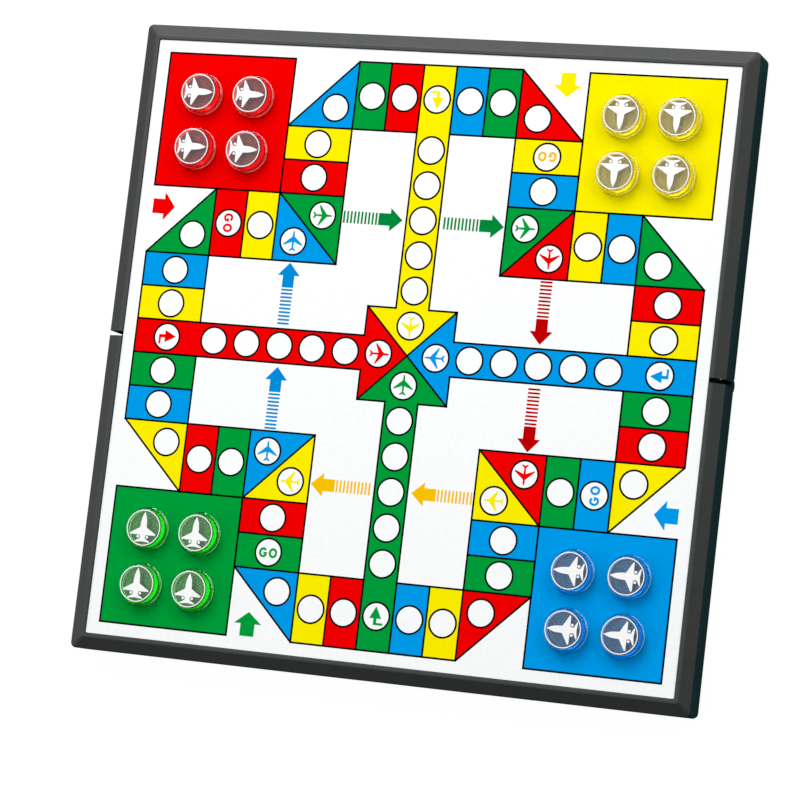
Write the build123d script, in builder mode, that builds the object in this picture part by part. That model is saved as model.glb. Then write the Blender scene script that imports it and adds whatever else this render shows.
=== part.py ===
"""Folding ludo board box: two shallow moulded trays hinged back to back, with magnetic counters.

The board lies open and flat, playing face up. The origin is under the middle of the seam, on the
surface that the feet stand on. +X runs along the seam, +Y to the rear half and +Z up. The rear half
swings down and under about the hinge, and the closed box has the playing faces outside and the two
hollows inside. All sizes are in millimetres.
"""

from build123d import *

import os

os.makedirs("parts", exist_ok=True)

# Driving dimensions of the board
cell = 15.28  # narrow side of one space of the printed track
board_size = (18.755 * cell, 18.70 * cell)  # outside of the open board, along X and Y
lip_size = (18.04 * cell, 17.98 * cell)  # outer edge of the narrow flat lip round the sheet
recess_size = (17.83 * cell, 17.78 * cell)  # hole in the frame that the sheet lies in
sheet_size = (17.80 * cell, 17.75 * cell)  # playing sheet
corner_radius = 2.4  # outer corners of the board, seen from above
lip_corner_radius = 0.9  # where the bevel meets the lip; the bevel's corners are cones between them
recess_corner_radius = 0.6
sheet_corner_radius = 0.6
wall = 2.0
deck = 2.0  # plate under the sheets
playing_sheet = 0.25  # thickness of the printed sheet
steel_sheet = 0.30  # thickness of the steel sheet under it

# Heights above the surface that the feet stand on
axis_z = 2.8  # hinge axis, in the plane where the closed halves meet
rim_z = axis_z + 0.1  # each rim stops just short of that plane
sheet_z = axis_z + 16.5  # playing face
lip_z = sheet_z + 0.6
bevel_edge_z = sheet_z - 1.5
steel_z = sheet_z - playing_sheet
deck_top_z = steel_z - steel_sheet
deck_low_z = deck_top_z - deck
inside_deck_z = deck_top_z - deck / 2  # where the pieces that hang under the deck start

# Roundings of the frame's edges
rim_rounding = 0.4
bevel_rounding = 0.5
lip_outer_rounding = 0.35
lip_inner_rounding = 0.25
inside_rounding = 1.0

# The seam between the halves
seam_gap = 0.1  # from the seam's middle to each back wall
sheet_seam_gap = 0.02  # from the seam's middle to each sheet
notch_half_width = 0.07 * cell  # the frame and side walls stop this far short of the seam
lip_notch_depth = 5.0

# Hinge: three knuckles at each end of the seam, the middle one on the rear half
barrel_radius = 2.6
barrel_clearance = 0.3
barrel_inset = 0.35  # the outer knuckle stops short of the side wall's face
outer_knuckle = 4.6
middle_knuckle = 8.1
inner_knuckle = 8.0
knuckle_gap = 0.2
pin_radius = 0.9
fixed_hole_radius = 0.91  # the pin is held in the front half
turning_hole_radius = 0.96
pin_inset = 0.4
hinge_block = 4.4  # block that ties the outer knuckle to the side wall, in depth and height

# Underside
rib_thickness = 1.2
rib_depth = 2.5
rib_pitch_x = 45.0
rib_pitch_y = 46.5
post_radius = 5.4
post_x = 131.0
front_post_y = (131.0, 14.0)  # distances of the posts from the seam
rear_post_y = (116.0, 29.0)  # set apart, so that the posts pass each other in the closed box
foot_radius = 4.6
foot_rounding = 0.5
foot_stem_radius = 2.0
foot_stem_length = 4.0
foot_clearance = 0.02

# Closing magnets in bosses behind the outer wall, and the thumb notch between them
magnet_x = 24.0
magnet_radius = 4.0
magnet_thickness = 2.5
magnet_clearance = 0.05
magnet_inset = 0.1
boss_width = 12.0
boss_depth = 12.5
thumb_width = 26.0
thumb_height = 4.0
thumb_depth = 1.0

# Counters
cap_radius = 0.557 * cell
flange_radius = 0.63 * cell
flange_height = 1.4
flange_chamfer = (0.4, 0.25)  # width and height of the bevel on the flange's top edge
flange_step = 0.1  # the flange's top rises this much on its way in to the cap's side
counter_height = 0.37 * cell
cap_edge = 0.35  # rounding of the cap's top edge
counter_clearance = 0.08  # the counters stand this far above the sheet, on its ink
cap_wall = 0.5  # wall round the pocket
cap_top = 4.4  # the cap is solid down to the thin pocket for its magnet
disc_thickness = 0.95
disc_inset = 0.15
disc_clearance = 0.1
disc_edge = 0.3
disc_rings = (3.8, 4.9, 6.0)  # radii of the low rings moulded on the magnet's top
disc_ring_width = 0.6
disc_ring_height = 0.09
group_x = {-1: -6.50 * cell, 1: 6.45 * cell}  # middles of the groups of counters
group_y = {-1: -6.494 * cell, 1: 6.472 * cell}
counter_offset = 0.82 * cell  # from a group's middle to its counters, both ways

# Worked-out places
half_width, half_length = (side / 2 for side in board_size)
back_wall_end = lip_size[0] / 2
barrel_end = half_width - barrel_inset
outer_span = (barrel_end - outer_knuckle, barrel_end)
middle_span = (outer_span[0] - knuckle_gap - middle_knuckle, outer_span[0] - knuckle_gap)
inner_span = (middle_span[0] - knuckle_gap - inner_knuckle, middle_span[0] - knuckle_gap)
pin_span = (inner_span[0] + pin_inset, outer_span[1] - pin_inset)
ends = (-1, 1)


def finish(piece, name):
    """Names one finished piece and writes its file."""
    piece.part.label = name
    export_step(piece.part, f"parts/{name}.step")


def block(x_range, y_range, z_range, mode=Mode.ADD):
    """Box between two values on each axis, given in either order."""
    spans = [sorted(values) for values in (x_range, y_range, z_range)]
    with Locations(tuple((low + high) / 2 for low, high in spans)):
        Box(*(high - low for low, high in spans), mode=mode)


def barrel(end, span, radius, mode=Mode.ADD):
    """Cylinder about the hinge axis. end is -1 or +1, and span is in distance from the middle."""
    low, high = sorted(end * distance for distance in span)
    with BuildSketch(Plane(origin=(low, 0, axis_z), x_dir=(0, 1, 0), z_dir=(1, 0, 0))) as disc:
        Circle(radius)
    extrude(disc.sketch, amount=high - low, mode=mode)


def rounded(size, radius, z, inset=0):
    """Sketch of a rounded rectangle about the board's middle, at height z."""
    with BuildSketch(Plane.XY.offset(z)) as plate:
        RectangleRounded(size[0] - 2 * inset, size[1] - 2 * inset, radius)
    return plate.sketch


def edges_at(piece, z):
    """Edges of a piece that lie at height z."""
    return piece.edges().filter_by_position(Axis.Z, z, z)


def whole_shell():
    """Both halves' frames and decks in one, before they are parted at the seam."""
    with BuildPart() as outside:
        extrude(rounded(board_size, corner_radius, rim_z), amount=bevel_edge_z - rim_z)
        bevel_edge = rounded(board_size, corner_radius, bevel_edge_z)
        lip_edge = rounded(lip_size, lip_corner_radius, lip_z)
        loft(sections=[bevel_edge, lip_edge], ruled=True)
        fillet(edges_at(outside, bevel_edge_z), bevel_rounding)
        fillet(edges_at(outside, lip_z), lip_outer_rounding)
        fillet(edges_at(outside, rim_z), rim_rounding)
    with BuildPart() as hollow:
        mouth = rounded(board_size, corner_radius - wall, rim_z, inset=wall)
        extrude(mouth, amount=deck_low_z - rim_z)
        fillet(edges_at(hollow, deck_low_z), inside_rounding)
    with BuildPart() as shell:
        add(outside.part)
        add(hollow.part, mode=Mode.SUBTRACT)
        recess = rounded(recess_size, recess_corner_radius, deck_top_z)
        extrude(recess, amount=lip_z - deck_top_z, mode=Mode.SUBTRACT)
        lip = shell.faces().sort_by(Axis.Z)[-1]
        fillet(lip.inner_wires()[0].edges(), lip_inner_rounding)
        rim = shell.faces().sort_by(Axis.Z)[0]
        fillet(rim.inner_wires()[0].edges(), rim_rounding)
    return shell.part


def back_wall_and_ribs(side, seam_y):
    """Back wall beside the seam and the ribs under the deck."""
    rib_end_x = half_width - wall / 2
    rib_end_y = half_length - wall / 2
    rib_z = (deck_low_z - rib_depth, inside_deck_z)
    back_wall_y = (seam_y, seam_y + side * wall)
    block((-back_wall_end, back_wall_end), back_wall_y, (rim_z, deck_top_z))
    for step in range(-2, 3):
        rib_x = (step * rib_pitch_x - rib_thickness / 2, step * rib_pitch_x + rib_thickness / 2)
        block(rib_x, (seam_y + side * wall / 2, side * rib_end_y), rib_z)
    for step in (1, 2):
        middle = side * step * rib_pitch_y
        rib_y = (middle - rib_thickness / 2, middle + rib_thickness / 2)
        block((-rib_end_x, rib_end_x), rib_y, rib_z)


def posts_and_bosses(side, post_y):
    """Posts for the feet and bosses for the closing magnets, with their holes."""
    post_places = [(x, side * y) for x in (-post_x, post_x) for y in post_y]
    with BuildSketch(Plane.XY.offset(rim_z)) as posts:
        with Locations(*post_places):
            Circle(post_radius)
    extrude(posts.sketch, amount=inside_deck_z - rim_z)
    for x in (-magnet_x, magnet_x):
        boss_y = (side * (half_length - wall / 2), side * (half_length - boss_depth))
        block((x - boss_width / 2, x + boss_width / 2), boss_y, (rim_z, inside_deck_z))
    with BuildSketch(Plane.XY.offset(rim_z)) as stem_holes:
        with Locations(*post_places):
            Circle(foot_stem_radius + foot_clearance)
    extrude(stem_holes.sketch, amount=foot_stem_length + foot_clearance, mode=Mode.SUBTRACT)
    with BuildSketch(Plane.XY.offset(rim_z)) as pockets:
        with Locations(*magnet_places(side)):
            Circle(magnet_radius + magnet_clearance)
    pocket_depth = magnet_thickness + magnet_inset + magnet_clearance
    extrude(pockets.sketch, amount=pocket_depth, mode=Mode.SUBTRACT)


def magnet_places(side):
    """Places of one half's closing magnets, seen from above."""
    magnet_y = half_length - (boss_depth + wall) / 2
    return [(x, side * magnet_y) for x in (-magnet_x, magnet_x)]


def seam_notches(side):
    """The frame and side walls stop short of the seam, and the lip dips beside it."""
    notch_y = (0, side * notch_half_width)
    for end in ends:
        side_x = (end * back_wall_end, end * (half_width + wall))
        block(side_x, notch_y, (rim_z - wall, lip_z + wall), mode=Mode.SUBTRACT)
        lip_x = (end * recess_size[0] / 2, end * back_wall_end)
        block(lip_x, notch_y, (lip_z - lip_notch_depth, lip_z + wall), mode=Mode.SUBTRACT)


def thumb_notch(side):
    """Shallow arched notch in the outer wall's rim, to open the closed box by."""
    facing = Plane(origin=(0, side * half_length, rim_z), x_dir=(1, 0, 0), z_dir=(0, side, 0))
    with BuildSketch(facing) as notch:
        with BuildLine():
            arch = SagittaArc((-thumb_width / 2, 0), (thumb_width / 2, 0), -side * thumb_height)
            Line(arch @ 1, arch @ 0)
        make_face()
    extrude(notch.sketch, amount=-thumb_depth, dir=(0, side, 0), mode=Mode.SUBTRACT)


def case_half(shell, side, own_spans, partner_spans, hole_radius, post_y):
    """One moulded half. side is -1 for the front half and +1 for the rear one."""
    seam_y = side * seam_gap
    with BuildPart() as case:
        block((-half_width, half_width), (seam_y, side * half_length), (rim_z, lip_z))
        add(shell, mode=Mode.INTERSECT)
        back_wall_and_ribs(side, seam_y)
        posts_and_bosses(side, post_y)
        seam_notches(side)
        thumb_notch(side)
        for end in ends:
            if outer_span in own_spans:
                block_x = (end * (back_wall_end - wall), end * (half_width - wall / 2))
                block_y = (side * notch_half_width, side * hinge_block)
                block(block_x, block_y, (rim_z, rim_z + hinge_block))
            for span in own_spans:
                barrel(end, span, barrel_radius)
            for low, high in partner_spans:
                if (low, high) == outer_span:
                    high = half_width + wall
                room = (low - knuckle_gap, high + knuckle_gap)
                barrel(end, room, barrel_radius + barrel_clearance, mode=Mode.SUBTRACT)
            barrel(end, (pin_span[0], half_width + wall), hole_radius, mode=Mode.SUBTRACT)
    return case


def sheet_half(side, low_z, thickness):
    """Flat sheet that covers one half, square at the seam and rounded at the outer corners."""
    with BuildPart() as sheet:
        with BuildSketch(Plane.XY.offset(low_z)):
            RectangleRounded(*sheet_size, sheet_corner_radius)
            with Locations((0, side * (sheet_seam_gap - half_length))):
                Rectangle(*board_size, mode=Mode.SUBTRACT)
        extrude(amount=thickness)
    return sheet


def hinge_pin(end):
    """Steel pin through the three knuckles at one end of the seam."""
    with BuildPart() as pin:
        barrel(end, pin_span, pin_radius)
    return pin


def feet(side, post_y):
    """Rubber feet of one half: a round pad with a stem that is pressed up into a post."""
    with BuildPart() as pads:
        with BuildSketch(Plane.XY):
            with Locations(*[(x, side * y) for x in (-post_x, post_x) for y in post_y]):
                Circle(foot_radius)
        extrude(amount=rim_z - foot_clearance)
        fillet(pads.edges().group_by(Axis.Z)[0], foot_rounding)
        with BuildSketch(Plane.XY.offset(rim_z - foot_clearance)):
            with Locations(*[(x, side * y) for x in (-post_x, post_x) for y in post_y]):
                Circle(foot_stem_radius)
        extrude(amount=foot_stem_length)
    return pads


def closing_magnets(side):
    """Two round magnets that lie just inside one half's rim."""
    with BuildPart() as magnets:
        with BuildSketch(Plane.XY.offset(rim_z + magnet_inset)):
            with Locations(*magnet_places(side)):
                Circle(magnet_radius)
        extrude(amount=magnet_thickness)
    return magnets


def turned(place, profile, roundings=0):
    """Solid of revolution about the vertical line through place. profile is (radius, height)."""
    x, y = place
    with BuildPart() as piece:
        with BuildSketch(Plane(origin=(x, y, 0), x_dir=(1, 0, 0), z_dir=(0, -1, 0))):
            with BuildLine():
                FilletPolyline(*profile, radius=roundings, close=True)
            make_face()
        revolve(axis=Axis((x, y, 0), (0, 0, 1)))
    return piece


def counter_cap(place):
    """Clear tinted cap: a thick round plate on a thin flange, with a shallow pocket below."""
    low = sheet_z + counter_clearance
    top = low + counter_height
    ceiling = top - cap_top
    inside = cap_radius - cap_wall
    bevel_width, bevel_height = flange_chamfer
    profile = (
        (inside, low),
        (flange_radius, low),
        (flange_radius, low + flange_height - bevel_height),
        (flange_radius - bevel_width, low + flange_height),
        (cap_radius, low + flange_height + flange_step),
        (cap_radius, top),
        (0, top),
        (0, ceiling),
        (inside, ceiling),
    )
    return turned(place, profile, (0, 0, 0, 0, 0, cap_edge, 0, 0, 0))


def counter_magnet(place):
    """Thin round magnet in a counter's pocket, with low rings on its top."""
    low = sheet_z + counter_clearance + disc_inset
    high = low + disc_thickness
    outer = cap_radius - cap_wall - disc_clearance
    profile = [(0, low), (outer, low), (outer, high)]
    for radius in reversed(disc_rings):
        profile.append((radius + disc_ring_width / 2, high))
        profile.append((radius, high + disc_ring_height))
        profile.append((radius - disc_ring_width / 2, high))
    profile.append((0, high))
    roundings = [0, 0, disc_edge] + [0] * (len(profile) - 3)
    return turned(place, profile, roundings)


# The two halves: the outer and inner knuckles are on the front half, the middle ones on the rear
front_knuckles = (outer_span, inner_span)
rear_knuckles = (middle_span,)
shell = whole_shell()
front_case = case_half(shell, -1, front_knuckles, rear_knuckles, fixed_hole_radius, front_post_y)
rear_case = case_half(shell, 1, rear_knuckles, front_knuckles, turning_hole_radius, rear_post_y)
finish(front_case, "front_case")
finish(rear_case, "rear_case")

for name, side, post_y in (("front", -1, front_post_y), ("rear", 1, rear_post_y)):
    finish(sheet_half(side, deck_top_z, steel_sheet), f"{name}_steel_sheet")
    finish(sheet_half(side, steel_z, playing_sheet), f"{name}_playing_sheet")
    finish(feet(side, post_y), f"{name}_feet")
    finish(closing_magnets(side), f"{name}_closing_magnets")

for name, end in (("left", -1), ("right", 1)):
    finish(hinge_pin(end), f"hinge_pin_{name}")

# Four counters on each base, numbered along X and then along Y
bases = {"red": (-1, 1), "yellow": (1, 1), "green": (-1, -1), "blue": (1, -1)}
offsets = [(-1, -1), (1, -1), (-1, 1), (1, 1)]
for colour, (base_x, base_y) in bases.items():
    for number, (step_x, step_y) in enumerate(offsets, start=1):
        place = (
            group_x[base_x] + step_x * counter_offset,
            group_y[base_y] + step_y * counter_offset,
        )
        finish(counter_cap(place), f"{colour}_counter_{number}_cap")
        finish(counter_magnet(place), f"{colour}_counter_{number}_magnet")
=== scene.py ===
"""Looks of the folding ludo board box: printed track, counters, plastics, light and camera."""

import math

import bmesh
import bpy
from mathutils import Matrix, Vector


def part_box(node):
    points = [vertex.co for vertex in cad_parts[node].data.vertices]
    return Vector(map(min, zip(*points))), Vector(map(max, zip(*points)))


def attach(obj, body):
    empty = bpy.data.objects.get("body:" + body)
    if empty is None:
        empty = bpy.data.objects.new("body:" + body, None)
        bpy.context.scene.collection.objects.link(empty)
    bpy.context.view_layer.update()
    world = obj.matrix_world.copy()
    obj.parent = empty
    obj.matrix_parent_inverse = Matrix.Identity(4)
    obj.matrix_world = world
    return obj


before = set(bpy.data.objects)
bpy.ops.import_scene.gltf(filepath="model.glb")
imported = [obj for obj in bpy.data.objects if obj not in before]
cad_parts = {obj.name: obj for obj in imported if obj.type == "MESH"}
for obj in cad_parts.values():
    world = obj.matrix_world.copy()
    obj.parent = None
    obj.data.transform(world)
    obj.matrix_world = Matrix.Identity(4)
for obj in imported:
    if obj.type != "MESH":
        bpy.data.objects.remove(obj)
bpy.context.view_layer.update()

# Sizes read from the frame, in metres
SHEET_CELLS = 17.80  # side of the playing sheet, in narrow spaces of the track
sheet_low, sheet_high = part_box("rear_playing_sheet")
CELL = 2 * sheet_high.x / SHEET_CELLS
SHEET_Z = sheet_high.z
MM = 0.001
SEAM_GAP = 0.002 * MM  # half the gap between the halves' prints
INK_LIFT = 0.002 * MM  # the ink's underside stands this far above the sheet
FIGURE_LIFT = 0.004 * MM  # and the white figures' above the caps
FIGURE_TOP = 0.05 * MM

COLOURS = ("green", "red", "yellow", "blue")  # the four arms, clockwise from the front
HALVES = {"front": -1, "rear": 1}
COUNTERS = range(1, 5)  # numbers of each colour's counters

# The dome's broad lights: towards where, how fast each fades, and its strength
DOME_LIGHTS = [
    ((0.75, 0.43, 0.50), 3.0, 0.75),  # on the right
    ((-0.85, -0.12, 0.51), 12.0, 2.35),  # on the left
    ((-0.34, 0.13, 0.93), 40.0, 1.15),  # overhead, mirrored by the level faces
]
DOME_COLOUR = (0.97, 1.0, 1.0)
WHITE = (1.0, 1.0, 1.0)

# The floor
FLOOR_HALF_SIDE = 6.0  # metres
FLOOR_BOUNCE = (0.005, 0.18, 0.195)  # its tone as the board's sides see it
FLOOR_SEEN = (0.9, 0.9, 0.9)  # its tone as the camera sees it, under the glow
FLOOR_GLOW = 1.04
FLOOR_GLOW_SHARE = 0.94  # the rest of what the camera sees takes the shadows

# The camera, in cells from the middle of the playing face
CAMERA_PLACE = (30.924, -10.126, 88.083)
CAMERA_AIM = (-0.050, -1.279, 0.0)
CAMERA_LEAN = 7.084  # degrees that the picture's up leans from the board's +Y
CAMERA_LENS = 147.42  # mm, on a picture 36 mm wide

# Heights of the case and the caps as shares of their own height
LIP_HIGHLIGHT_HEIGHTS = (0.990, 0.994)  # where the painted highlight on the lip's top comes in
FLANGE_BEVEL = (0.20, 0.2475)  # the bevel round the cap's flange
CAP_FACE = 0.985  # the cap's top face starts here


# ---------------------------------------------------------------- camera and light


def add_camera():
    """Camera above the board and to its right, its picture's up leaning from the board's +Y."""
    middle = Vector((0, 0, SHEET_Z))
    place = middle + Vector(CAMERA_PLACE) * CELL
    aim = middle + Vector(CAMERA_AIM) * CELL
    lean = math.radians(CAMERA_LEAN)
    back = (place - aim).normalized()
    up_hint = Vector((-math.sin(lean), math.cos(lean), 0))
    right = up_hint.cross(back).normalized()
    up = back.cross(right)
    data = bpy.data.cameras.new("camera")
    data.lens = CAMERA_LENS
    data.sensor_width = 36.0
    data.clip_end = 20.0
    camera = bpy.data.objects.new("camera", data)
    turn = Matrix((right, up, back)).transposed().to_4x4()
    camera.matrix_world = Matrix.Translation(place) @ turn
    bpy.context.scene.collection.objects.link(camera)
    bpy.context.scene.camera = camera


def area_light(name, shape, place, size, power):
    """Soft light at place, facing the board. Sizes are in metres and power in watts."""
    data = bpy.data.lights.new(name, "AREA")
    data.shape = shape
    data.size = size
    data.energy = power
    lamp = bpy.data.objects.new(name, data)
    lamp.location = place
    facing = -Vector(place)
    lamp.rotation_euler = facing.to_track_quat("-Z", "Y").to_euler()
    bpy.context.scene.collection.objects.link(lamp)
    return lamp


def strip_light(name, place, along, width, length, power):
    """Long soft light at place, facing the board, with its length near the direction along."""
    strip = area_light(name, "RECTANGLE", place, width, power)
    strip.data.size_y = length
    back = Vector(place).normalized()
    across = Vector(along).cross(back).normalized()
    axes = Matrix((across, back.cross(across), back)).transposed()
    strip.rotation_euler = axes.to_euler()


def dome_light(tree, direction, towards, fall, strength):
    """One broad light of the dome: strongest in one direction and fading away from it."""
    facing = tree.nodes.new("ShaderNodeVectorMath")
    facing.operation = "DOT_PRODUCT"
    facing.inputs[1].default_value = Vector(towards).normalized()
    tree.links.new(direction, facing.inputs[0])
    front = tree.nodes.new("ShaderNodeMath")
    front.operation = "MAXIMUM"
    front.inputs[1].default_value = 0.0
    tree.links.new(facing.outputs["Value"], front.inputs[0])
    lobe = tree.nodes.new("ShaderNodeMath")
    lobe.operation = "POWER"
    lobe.inputs[1].default_value = fall
    tree.links.new(front.outputs[0], lobe.inputs[0])
    scaled = tree.nodes.new("ShaderNodeMath")
    scaled.operation = "MULTIPLY"
    scaled.inputs[1].default_value = strength
    tree.links.new(lobe.outputs[0], scaled.inputs[0])
    return scaled.outputs[0]


def add_world():
    """Dome of a few broad lights for the board, white to the camera and through the caps."""
    world = bpy.data.worlds.new("studio")
    bpy.context.scene.world = world
    world.use_nodes = True
    tree = world.node_tree
    tree.nodes.clear()
    direction = tree.nodes.new("ShaderNodeTexCoord").outputs["Generated"]
    total = None
    for towards, fall, strength in DOME_LIGHTS:
        level = dome_light(tree, direction, towards, fall, strength)
        if total:
            both = tree.nodes.new("ShaderNodeMath")
            tree.links.new(total, both.inputs[0])
            tree.links.new(level, both.inputs[1])
            level = both.outputs[0]
        total = level
    light = tree.nodes.new("ShaderNodeBackground")
    light.inputs["Color"].default_value = (*DOME_COLOUR, 1)
    tree.links.new(total, light.inputs["Strength"])
    seen = tree.nodes.new("ShaderNodeBackground")
    seen.inputs["Color"].default_value = (*WHITE, 1)
    seen.inputs["Strength"].default_value = 1.0
    path = tree.nodes.new("ShaderNodeLightPath")
    mix = tree.nodes.new("ShaderNodeMixShader")
    shown = tree.nodes.new("ShaderNodeMath")
    shown.operation = "MAXIMUM"
    tree.links.new(path.outputs["Is Camera Ray"], shown.inputs[0])
    tree.links.new(path.outputs["Is Transmission Ray"], shown.inputs[1])
    tree.links.new(shown.outputs[0], mix.inputs["Fac"])
    tree.links.new(light.outputs[0], mix.inputs[1])
    tree.links.new(seen.outputs[0], mix.inputs[2])
    output = tree.nodes.new("ShaderNodeOutputWorld")
    tree.links.new(mix.outputs[0], output.inputs["Surface"])


def add_lights():
    add_world()
    area_light("key", "DISK", place=(-0.80, 1.56, 1.64), size=1.7, power=45.0)
    strip_light(
        "strip",
        place=(1.02, 1.62, 1.45),
        along=(-0.81, 0.81, -0.31),
        width=0.85,
        length=3.6,
        power=23.0,
    )


# ---------------------------------------------------------------- materials


class Nodes:
    """A material's node tree with its Principled shader, and short ways to add to it."""

    def __init__(self, name):
        self.material = bpy.data.materials.new(name)
        self.material.use_nodes = True
        self.tree = self.material.node_tree
        self.shader = self.tree.nodes["Principled BSDF"]
        self.place = self.add("ShaderNodeTexCoord").outputs["Object"]

    def add(self, kind, **values):
        node = self.tree.nodes.new(kind)
        for key, value in values.items():
            node.inputs[key].default_value = value
        return node

    def link(self, output, target):
        self.tree.links.new(output, target)

    def noise(self, scale, detail=3.0):
        """Noise from 0 to 1; scale is about how many of its blotches there are to a metre."""
        node = self.add("ShaderNodeTexNoise", Scale=scale, Detail=detail)
        self.link(self.place, node.inputs["Vector"])
        return node.outputs["Fac"]

    def ranged(self, value, low, high):
        """value, from 0 to 1, spread over low to high."""
        node = self.add("ShaderNodeMapRange")
        node.inputs["To Min"].default_value = low
        node.inputs["To Max"].default_value = high
        self.link(value, node.inputs["Value"])
        return node.outputs["Result"]

    def two_tones(self, value, dark, light):
        """Colour between dark and light as value goes from 0.3 to 0.7."""
        node = self.add("ShaderNodeValToRGB")
        first, last = node.color_ramp.elements
        first.position, last.position = 0.3, 0.7
        first.color = (*dark, 1)
        last.color = (*light, 1)
        self.link(value, node.inputs["Fac"])
        self.link(node.outputs["Color"], self.shader.inputs["Base Color"])

    def height(self):
        """Height within the piece, from 0 at its lowest point to 1 at its highest."""
        parts = self.add("ShaderNodeSeparateXYZ")
        self.link(self.add("ShaderNodeTexCoord").outputs["Generated"], parts.inputs[0])
        return parts.outputs["Z"]

    def lacquer(self):
        """Clear coat on a cap's top face and on its flange's bevel, by height."""
        ramp = self.add("ShaderNodeValToRGB")
        ramp.color_ramp.interpolation = "CONSTANT"
        first, last = ramp.color_ramp.elements
        first.color = (0, 0, 0, 1)
        last.position = CAP_FACE
        last.color = (1, 1, 1, 1)
        for place, value in zip(FLANGE_BEVEL, (1, 0)):
            stop = ramp.color_ramp.elements.new(place)
            stop.color = (value, value, value, 1)
        self.link(self.height(), ramp.inputs["Fac"])
        self.link(ramp.outputs["Color"], self.shader.inputs["Coat Weight"])

    def bump(self, value, depth, strength=0.5):
        node = self.add("ShaderNodeBump", Strength=strength, Distance=depth)
        self.link(value, node.inputs["Height"])
        self.link(node.outputs["Normal"], self.shader.inputs["Normal"])


def shade(colour, factor):
    """The colour made darker or lighter, and never above 1."""
    return tuple(min(1.0, channel * factor) for channel in colour)


def ink(name, colour, gloss=0.0):
    """Printed ink under a thin satin film: slightly uneven tone and a faint orange peel."""
    nodes = Nodes(name)
    nodes.two_tones(nodes.noise(900.0), shade(colour, 0.975), shade(colour, 1.02))
    nodes.link(nodes.ranged(nodes.noise(350.0), 0.42, 0.52), nodes.shader.inputs["Roughness"])
    nodes.shader.inputs["Specular IOR Level"].default_value = gloss
    nodes.bump(nodes.noise(1400.0), 0.02 * MM)
    return nodes.material


def black_plastic():
    """Moulded black plastic with a fine spark-eroded grain, and a painted highlight: the lip's
    level top painted paler, standing in for the light it catches.
    """
    nodes = Nodes("black_plastic")
    # painted highlight: the top of the case, its lip, is made paler in place of the light it
    # catches; the noise below is the plastic's own grain
    lip = nodes.add("ShaderNodeMapRange")
    lip.inputs["From Min"].default_value, lip.inputs["From Max"].default_value = LIP_HIGHLIGHT_HEIGHTS
    nodes.link(nodes.height(), lip.inputs["Value"])
    tone = nodes.add("ShaderNodeMath")
    tone.operation = "MULTIPLY_ADD"
    tone.inputs[1].default_value = 0.4
    nodes.link(lip.outputs["Result"], tone.inputs[0])
    nodes.link(nodes.ranged(nodes.noise(140.0), 0.25, 0.45), tone.inputs[2])
    nodes.two_tones(tone.outputs[0], (0.020, 0.021, 0.021), (0.036, 0.037, 0.037))
    nodes.link(nodes.ranged(nodes.noise(500.0), 0.42, 0.54), nodes.shader.inputs["Roughness"])
    nodes.shader.inputs["Specular IOR Level"].default_value = 0.42
    nodes.bump(nodes.noise(2600.0, detail=4.0), 0.03 * MM, 0.6)
    return nodes.material


def clear_plastic(name, tint):
    """Polished clear plastic, tinted right through: its colour deepens with thickness."""
    nodes = Nodes(name)
    nodes.two_tones(nodes.noise(60.0), (0.985, 0.985, 0.985), (1.0, 1.0, 1.0))
    nodes.shader.inputs["Transmission Weight"].default_value = 1.0
    nodes.shader.inputs["Roughness"].default_value = 0.02
    nodes.shader.inputs["IOR"].default_value = 1.49
    nodes.shader.inputs["Specular Tint"].default_value = (0.1, 0.1, 0.1, 1)
    nodes.shader.inputs["Coat IOR"].default_value = 1.7
    nodes.shader.inputs["Coat Roughness"].default_value = 0.02
    nodes.lacquer()
    nodes.bump(nodes.noise(180.0), 0.01 * MM, 0.03)
    tinted = nodes.add("ShaderNodeVolumeAbsorption", Density=TINT_DENSITY)
    tinted.inputs["Color"].default_value = (*tint, 1)
    nodes.link(tinted.outputs[0], nodes.tree.nodes["Material Output"].inputs["Volume"])
    return nodes.material


def steel(name, tone, roughness):
    """Plain or plated steel, faintly streaked."""
    nodes = Nodes(name)
    nodes.two_tones(nodes.noise(400.0), shade(tone, 0.9), tone)
    nodes.link(
        nodes.ranged(nodes.noise(900.0), roughness * 0.8, roughness * 1.2),
        nodes.shader.inputs["Roughness"],
    )
    nodes.shader.inputs["Metallic"].default_value = 1.0
    return nodes.material


def rubber():
    """Dull black rubber of the feet."""
    nodes = Nodes("foot_rubber")
    nodes.two_tones(nodes.noise(700.0), (0.018, 0.018, 0.018), (0.028, 0.028, 0.028))
    nodes.shader.inputs["Roughness"].default_value = 0.8
    nodes.bump(nodes.noise(2500.0), 0.05 * MM)
    return nodes.material


def ferrite(name, tone):
    """Bonded ferrite magnet with a fine grain."""
    nodes = Nodes(name)
    nodes.two_tones(nodes.noise(1500.0), shade(tone, 0.88), shade(tone, 1.12))
    nodes.link(nodes.ranged(nodes.noise(700.0), 0.22, 0.32), nodes.shader.inputs["Roughness"])
    nodes.bump(nodes.noise(3000.0), 0.02 * MM)
    return nodes.material


INKS = {
    "black": (0.004, 0.003, 0.004),
    "white": (0.95, 0.955, 0.96),
    "red": (0.86, 0.0, 0.0003),
    "yellow": (0.95, 0.825, 0.0),
    "green": (0.0, 0.32, 0.041),
    "blue": (0.0, 0.312, 0.78),
    "dark_red": (0.50, 0.0, 0.0),
    "dark_green": (0.0, 0.23, 0.040),
    "dark_blue": (0.0, 0.25, 0.66),
    "orange": (0.93, 0.52, 0.0),
}
TINT_DENSITY = 220.0  # per metre, at a tint of nought
TINTS = {
    "red": (0.98, 0.0, 0.0),
    "yellow": (0.995, 0.93, 0.15),
    "green": (0.0, 0.98, 0.0),
    "blue": (0.0, 0.71, 0.985),
}
FERRITE_TONES = {  # of the counters' magnets, seen through the caps
    "red": (0.13, 0.15, 0.15),
    "yellow": (0.39, 0.355, 0.44),
    "green": (0.17, 0.17, 0.17),
    "blue": (0.17, 0.11, 0.17),
}


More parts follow.
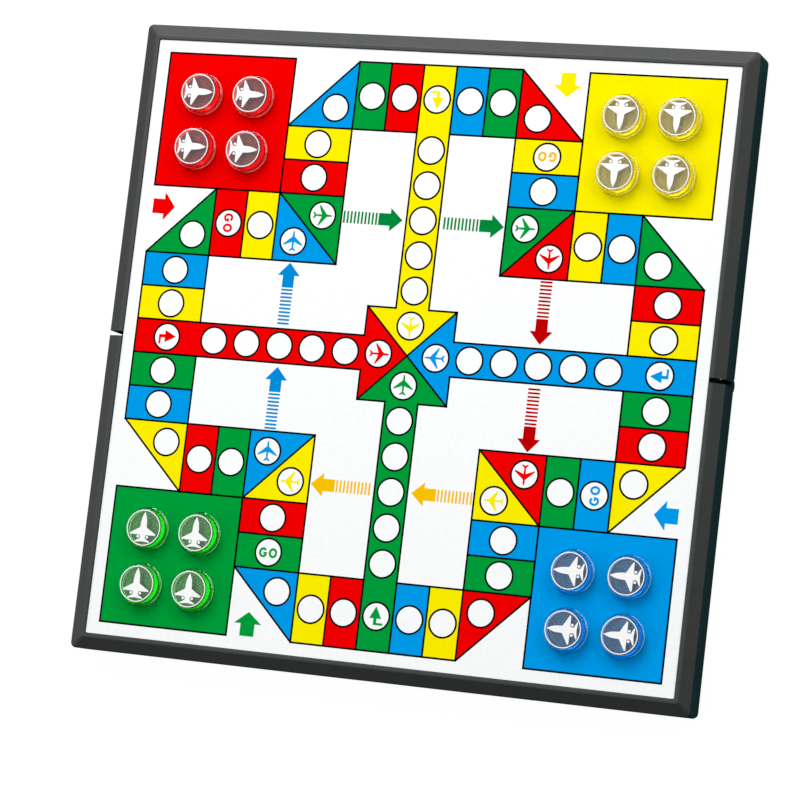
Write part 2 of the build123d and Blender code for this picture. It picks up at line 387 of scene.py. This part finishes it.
def dress_cad_nodes():
    """Gives every CAD node its material."""
    dress = {
        "case": black_plastic(),
        "steel_sheet": steel("steel_sheet", (0.55, 0.56, 0.57), 0.35),
        "playing_sheet": ink("sheet_white", INKS["white"], 0.05),
        "feet": rubber(),
        "magnets": ferrite("magnet_black", (0.16, 0.16, 0.165)),
        "pin": steel("pin_steel", (0.62, 0.63, 0.64), 0.3),
    }
    for colour in COLOURS:
        dress[f"{colour}_cap"] = clear_plastic(f"clear_{colour}", TINTS[colour])
        dress[f"{colour}_magnet"] = ferrite(f"magnet_{colour}", FERRITE_TONES[colour])
    for name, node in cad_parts.items():
        if name.endswith(("_cap", "_magnet")):
            kind = name.split("_")[0] + "_" + name.split("_")[-1]
        elif "magnets" in name:
            kind = "magnets"
        elif "pin" in name:
            kind = "pin"
        else:
            kind = name.split("_", 1)[1]
        node.data.materials.clear()
        node.data.materials.append(dress[kind])


# ---------------------------------------------------------------- flat outlines, in cells


def turned(outline, degrees, place=(0.0, 0.0)):
    """The outline turned anticlockwise about its own origin and then moved to place."""
    c, s = math.cos(math.radians(degrees)), math.sin(math.radians(degrees))
    return [(c * x - s * y + place[0], s * x + c * y + place[1]) for x, y in outline]


def moved(outline, place):
    return [(x + place[0], y + place[1]) for x, y in outline]


def rectangle(x_low, x_high, y_low, y_high):
    return [(x_low, y_low), (x_high, y_low), (x_high, y_high), (x_low, y_high)]


def disc(radius, sides=56):
    angles = [2 * math.pi * step / sides for step in range(sides)]
    return [(radius * math.cos(angle), radius * math.sin(angle)) for angle in angles]


def mirrored(right_side):
    """Closed outline from its right-hand side, listed from the top down."""
    return right_side + [(-x, y) for x, y in reversed(right_side) if x > 1e-6]


def stroke(start, end, width, overrun=0.0):
    """Straight line of a given width, run on past both ends."""
    (x0, y0), (x1, y1) = start, end
    length = math.hypot(x1 - x0, y1 - y0)
    ux, uy = (x1 - x0) / length, (y1 - y0) / length
    ax, ay = -uy * width / 2, ux * width / 2
    x0, y0 = x0 - ux * overrun, y0 - uy * overrun
    x1, y1 = x1 + ux * overrun, y1 + uy * overrun
    return [(x0 - ax, y0 - ay), (x1 - ax, y1 - ay), (x1 + ax, y1 + ay), (x0 + ax, y0 + ay)]


def arc(radius_x, radius_y, start, end, steps=28):
    """Points along an ellipse from one angle to another, in degrees."""
    angles = [math.radians(start + (end - start) * step / steps) for step in range(steps + 1)]
    return [(radius_x * math.cos(a), radius_y * math.sin(a)) for a in angles]


def arc_band(radius_x, radius_y, width, start, end, steps=28):
    """Band along an ellipse from one angle to another, in degrees."""
    outer = arc(radius_x, radius_y, start, end, steps)
    inner = arc(radius_x - width, radius_y - width, start, end, steps)
    return [
        [outer[step], outer[step + 1], inner[step + 1], inner[step]] for step in range(steps)
    ]


# Flat figures that point to +Y, their middles at the origin
AIRLINER = mirrored(
    [
        (0.0, 0.318),
        (0.021, 0.280),
        (0.029, 0.224),
        (0.034, 0.141),
        (0.297, -0.084),
        (0.289, -0.124),
        (0.034, -0.021),
        (0.025, -0.190),
        (0.094, -0.253),
        (0.094, -0.294),
        (0.0, -0.253),
    ]
)
BENT_ARROW = [
    (-0.020, 0.285),
    (-0.200, -0.060),
    (-0.072, -0.060),
    (-0.072, -0.250),
    (0.214, -0.250),
    (0.214, -0.185),
    (0.022, -0.185),
    (0.022, -0.060),
    (0.160, -0.060),
]
JET = mirrored(
    [
        (0.0, 0.468),
        (0.026, 0.41),
        (0.052, 0.35),
        (0.080, 0.26),
        (0.094, 0.15),
        (0.102, 0.01),
        (0.405, -0.170),
        (0.400, -0.205),
        (0.098, -0.212),
        (0.082, -0.250),
        (0.080, -0.315),
        (0.235, -0.398),
        (0.228, -0.425),
        (0.0, -0.400),
    ]
)
JET_PODS = [(-0.143, -0.266), (0.143, -0.266)]
POD = [(x * 0.038, y * 0.042) for x, y in disc(1.0, 20)]
COUNTER_RING = 0.5265  # outer radius of the white ring round the jet
COUNTER_RING_WIDTH = 0.029
ENTRY_ARROW = mirrored([(0.0, -7.766), (0.424, -8.11), (0.218, -8.11), (0.218, -8.47)])
ENTRY_X = -3.87


def letters_go():
    """The word GO, its middle a little to the left of the origin and below it."""
    half_wide, half_high, width = 0.130, 0.146, 0.068
    bar_top, bar_bottom, bar_start = 0.016, -0.042, 0.010
    outer = arc(half_wide, half_high, 38, 322)
    inner = arc(half_wide - width, half_high - width, 322, 38)
    bar = [
        (half_wide, bar_top),
        (bar_start, bar_top),
        (bar_start, bar_bottom),
        (half_wide - width, bar_bottom),
    ]
    letter_g = moved(outer + bar + inner, (-0.158, -0.014))
    letter_o = arc_band(half_wide, half_high, width, 0, 360)
    return [letter_g] + [moved(shape, (0.146, -0.014)) for shape in letter_o]


# ---------------------------------------------------------------- the printed track

LINE = 0.056  # width of the black lines
RING_RADIUS = 0.4285  # black ring of a space's circle
SPOT_RADIUS = 0.3725  # white inside it
CORNER = 8.5  # outer edge of the track
ARM = 4.5  # outer edge of the arms' side columns, and inner corner of the bases
INNER = 2.5  # inner edge of those columns
ROW = 6.5  # inner edge of the track's outer row
HUB = 1.36  # half the centre square
PATH_SPOTS = (6.0, 4.97, 3.94, 2.92, 1.89)  # circles along a home row, from the middle
HUB_SPOT = 0.87  # circle in each part of the centre square
HUB_AIRLINER = 0.85
TURNING_SPACE = (0, -7.5)
WORD_SPACE = (-3.5, -6.0)
JUMP_TAILS = (2.434, -0.640)  # where the two jump arrows start, along X
JUMP_Y = -3.91
DEEP_INKS = {"red": "dark_red", "green": "dark_green", "blue": "dark_blue", "yellow": "orange"}
LAYERS = {"fill": 0.012, "line": 0.024, "spot": 0.036, "icon": 0.048}  # tops, in mm


class Print:
    """Collects flat shapes by ink and layer, and turns them into thin closed pieces."""

    def __init__(self):
        self.shapes = {}
        self.lines = set()

    def add(self, colour, layer, outline, quarter=0):
        """outline is in cells, drawn for the front arm; quarter turns it clockwise."""
        placed = turned(outline, -90 * quarter)
        self.shapes.setdefault((colour, layer), []).append(placed)

    def edge(self, start, end, quarter=0):
        """Black line between two points, drawn once however often it is asked for."""
        ends = sorted(
            (round(x, 3) + 0.0, round(y, 3) + 0.0)
            for x, y in turned([start, end], -90 * quarter)
        )
        self.lines.add(tuple(ends))

    def outlined(self, colour, outline, quarter, open_edges=()):
        """Filled shape with black lines on its edges, apart from those numbered."""
        self.add(colour, "fill", outline, quarter)
        for number, start in enumerate(outline):
            if number not in open_edges:
                self.edge(start, outline[(number + 1) % len(outline)], quarter)

    def spot(self, place, quarter):
        """White circle with a black ring."""
        self.add("black", "line", moved(disc(RING_RADIUS), place), quarter)
        self.add("white", "spot", moved(disc(SPOT_RADIUS), place), quarter)


def own(quarter, step):
    """Ink of the arm that lies step places clockwise from this one."""
    return COLOURS[(quarter + step) % 4]


def print_cells(sheet, quarter):
    """One arm's spaces, drawn for the front arm: whose ink, the outline and its circle."""
    spaces = [
        (3, rectangle(INNER, ARM, -5.5, -ARM), (3.5, -5.0)),
        (0, rectangle(INNER, ARM, -ROW, -5.5), (3.5, -6.0)),
        (1, [(INNER, -ROW), (INNER, -CORNER), (ARM, -ROW)], (3.09, -7.10)),
        (2, rectangle(1.5, INNER, -CORNER, -ROW), (2.0, -7.5)),
        (3, rectangle(0.5, 1.5, -CORNER, -ROW), (1.0, -7.5)),
        (1, rectangle(-1.5, -0.5, -CORNER, -ROW), (-1.0, -7.5)),
        (2, rectangle(-INNER, -1.5, -CORNER, -ROW), (-2.0, -7.5)),
        (3, [(-INNER, -ROW), (-ARM, -ROW), (-INNER, -CORNER)], (-3.09, -7.10)),
        (0, rectangle(-ARM, -INNER, -ROW, -5.5), (-3.5, -6.0)),
        (1, rectangle(-ARM, -INNER, -5.5, -ARM), (-3.5, -5.0)),
    ]
    for step, outline, place in spaces:
        sheet.outlined(own(quarter, step), outline, quarter)
        sheet.spot(place, quarter)


def print_crossing(sheet, quarter):
    """The square between this arm and the next, split corner to corner, with its airliners."""
    near, far = 3.09, 3.905  # distances of each circle from the board's two middle lines
    upper = [(-ARM, -ARM), (-INNER, -INNER), (-ARM, -INNER)]
    lower = [(-ARM, -ARM), (-INNER, -ARM), (-INNER, -INNER)]
    for step, outline, place, facing in (
        (3, upper, (-far, -near), 0),
        (2, lower, (-near, -far), 90),
    ):
        colour = own(quarter, step)
        sheet.outlined(colour, outline, quarter)
        sheet.spot(place, quarter)
        sheet.add(colour, "icon", turned(AIRLINER, facing, place), quarter)


def print_home_row(sheet, quarter):
    """The straight row to the middle and its part of the centre square."""
    colour = own(quarter, 0)
    sheet.outlined(colour, rectangle(-0.5, 0.5, -CORNER, -HUB), quarter, open_edges=(2,))
    sheet.add(colour, "fill", [(0, 0), (-HUB, -HUB), (HUB, -HUB)], quarter)
    sheet.edge((0, 0), (HUB, -HUB), quarter)
    sheet.edge((0, 0), (-HUB, -HUB), quarter)
    sheet.edge((-HUB, -HUB), (-0.5, -HUB), quarter)
    sheet.edge((0.5, -HUB), (HUB, -HUB), quarter)
    for distance in PATH_SPOTS:
        sheet.spot((0, -distance), quarter)
    sheet.spot((0, -HUB_SPOT), quarter)
    sheet.add(colour, "icon", moved(AIRLINER, (0, -HUB_AIRLINER)), quarter)


def print_signs(sheet, quarter):
    """Turning arrow, the word GO, the two jumps and the entry arrow of one arm."""
    colour = own(quarter, 0)
    sheet.spot(TURNING_SPACE, quarter)
    sheet.add(colour, "icon", moved(BENT_ARROW, TURNING_SPACE), quarter)
    word = "orange" if colour == "yellow" else colour
    for shape in letters_go():
        sheet.add(word, "icon", moved(shape, WORD_SPACE), quarter)
    for tail_x in JUMP_TAILS:
        for outline in jump_arrow():
            placed = turned(outline, 180, (tail_x, JUMP_Y))
            sheet.add(DEEP_INKS[own(quarter, 2)], "fill", placed, quarter)
    sheet.add(colour, "fill", moved(ENTRY_ARROW, (ENTRY_X, 0)), quarter)


def jump_arrow():
    """Arrow along +X from its tail at the origin: stripes, a solid shaft and a head."""
    stripes, first, pitch, thickness, half_high = 10, -0.008, 0.110, 0.057, 0.178
    solid, back, tip, half_head = 1.08, 1.435, 1.817, 0.343
    starts = [first + step * pitch for step in range(stripes)]
    tail = [rectangle(start, start + thickness, -half_high, half_high) for start in starts]
    head = [
        (solid, -half_high),
        (back, -half_high),
        (back, -half_head),
        (tip, 0.0),
        (back, half_head),
        (back, half_high),
        (solid, half_high),
    ]
    return tail + [head]


def thin_piece(name, outlines, low, high, keep=None):
    """Closed flat prisms between two heights, in metres, as one piece.

    keep is -1 or +1 for the side of the seam that is kept. Nothing is made if none is left.
    """
    flat = bmesh.new()
    for outline in outlines:
        flat.faces.new([flat.verts.new((x, y, high)) for x, y in outline]).normal_update()
    bmesh.ops.triangulate(flat, faces=flat.faces[:])
    if keep:
        bmesh.ops.bisect_plane(
            flat,
            geom=flat.verts[:] + flat.edges[:] + flat.faces[:],
            plane_co=(0, keep * SEAM_GAP, 0),
            plane_no=(0, -keep, 0),
            clear_outer=True,
        )
    if not flat.faces:
        flat.free()
        return None
    bmesh.ops.recalc_face_normals(flat, faces=flat.faces[:])
    for face in flat.faces:
        if face.normal.z < 0:
            face.normal_flip()
    made = bmesh.ops.extrude_face_region(flat, geom=flat.faces[:])
    for item in made["geom"]:
        if isinstance(item, bmesh.types.BMVert):
            item.co.z = low
    bmesh.ops.recalc_face_normals(flat, faces=flat.faces[:])
    mesh = bpy.data.meshes.new(name)
    flat.to_mesh(mesh)
    flat.free()
    piece = bpy.data.objects.new(name, mesh)
    bpy.context.scene.collection.objects.link(piece)
    return piece


def print_sheets():
    """All the ink on the two playing sheets, split at the seam."""
    sheet = Print()
    for quarter in range(4):
        base = rectangle(ARM, CORNER, -CORNER, -ARM)
        sheet.outlined(own(quarter, 3), base, quarter)
        print_cells(sheet, quarter)
        print_crossing(sheet, quarter)
        print_home_row(sheet, quarter)
        print_signs(sheet, quarter)
    for start, end in sorted(sheet.lines):
        sheet.add("black", "line", stroke(start, end, LINE, LINE / 2))
    materials = {}
    for (colour, layer), shapes in sorted(sheet.shapes.items()):
        if colour not in materials:
            materials[colour] = ink(f"ink_{colour}", INKS[colour])
        outlines = [[(x * CELL, y * CELL) for x, y in shape] for shape in shapes]
        for half, side in HALVES.items():
            top = SHEET_Z + LAYERS[layer] * MM
            name = f"print_{layer}_{colour}_{half}"
            piece = thin_piece(name, outlines, SHEET_Z + INK_LIFT, top, side)
            if piece:
                piece.data.materials.append(materials[colour])
                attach(piece, f"{half}_half")


# ---------------------------------------------------------------- the counters' white figures


def print_counters():
    """White ring and jet on the top of each counter, the jet facing its home row."""
    white = ink("foil_white", (0.94, 0.94, 0.94), 0.4)
    ring = arc_band(COUNTER_RING, COUNTER_RING, COUNTER_RING_WIDTH, 0, 360, steps=72)
    shapes = [JET] + [moved(POD, place) for place in JET_PODS] + ring
    for quarter, colour in enumerate(COLOURS):
        for number in COUNTERS:
            low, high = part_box(f"{colour}_counter_{number}_cap")
            x, y = (low.x + high.x) / 2, (low.y + high.y) / 2
            outlines = []
            for shape in shapes:
                facing = turned(shape, -90 * quarter)
                outlines.append([(px * CELL + x, py * CELL + y) for px, py in facing])
            name = f"{colour}_counter_{number}_figure"
            piece = thin_piece(name, outlines, high.z + FIGURE_LIFT, high.z + FIGURE_TOP)
            piece.data.materials.append(white)
            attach(piece, f"{colour}_counter_{number}")


# ---------------------------------------------------------------- the floor


def add_floor():
    """Floor that the camera sees as white with a faint shadow, and that is dark to the board."""
    size = FLOOR_HALF_SIDE
    mesh = bpy.data.meshes.new("floor")
    corners = [(x, y, 0) for x, y in rectangle(-size, size, -size, size)]
    mesh.from_pydata(corners, [], [(0, 1, 2, 3)])
    floor = bpy.data.objects.new("floor", mesh)
    bpy.context.scene.collection.objects.link(floor)
    nodes = Nodes("floor")
    path = nodes.add("ShaderNodeLightPath")
    tone = nodes.add("ShaderNodeMixRGB")
    tone.inputs[1].default_value = (*FLOOR_BOUNCE, 1)
    tone.inputs[2].default_value = (*FLOOR_SEEN, 1)
    nodes.link(path.outputs["Is Camera Ray"], tone.inputs["Fac"])
    nodes.link(tone.outputs[0], nodes.shader.inputs["Base Color"])
    nodes.shader.inputs["Roughness"].default_value = 0.9
    nodes.shader.inputs["Specular IOR Level"].default_value = 0.0
    glow = nodes.add("ShaderNodeEmission", Strength=FLOOR_GLOW)
    glow.inputs["Color"].default_value = (*WHITE, 1)
    seen = nodes.add("ShaderNodeMath")
    seen.operation = "MULTIPLY"
    seen.inputs[1].default_value = FLOOR_GLOW_SHARE
    nodes.link(path.outputs["Is Camera Ray"], seen.inputs[0])
    mix = nodes.add("ShaderNodeMixShader")
    nodes.link(seen.outputs[0], mix.inputs["Fac"])
    nodes.link(nodes.shader.outputs[0], mix.inputs[1])
    nodes.link(glow.outputs[0], mix.inputs[2])
    nodes.link(mix.outputs[0], nodes.tree.nodes["Material Output"].inputs["Surface"])
    mesh.materials.append(nodes.material)


add_camera()
add_lights()
dress_cad_nodes()
print_sheets()
print_counters()
add_floor()

view = bpy.context.scene.view_settings
view.view_transform = "Standard"
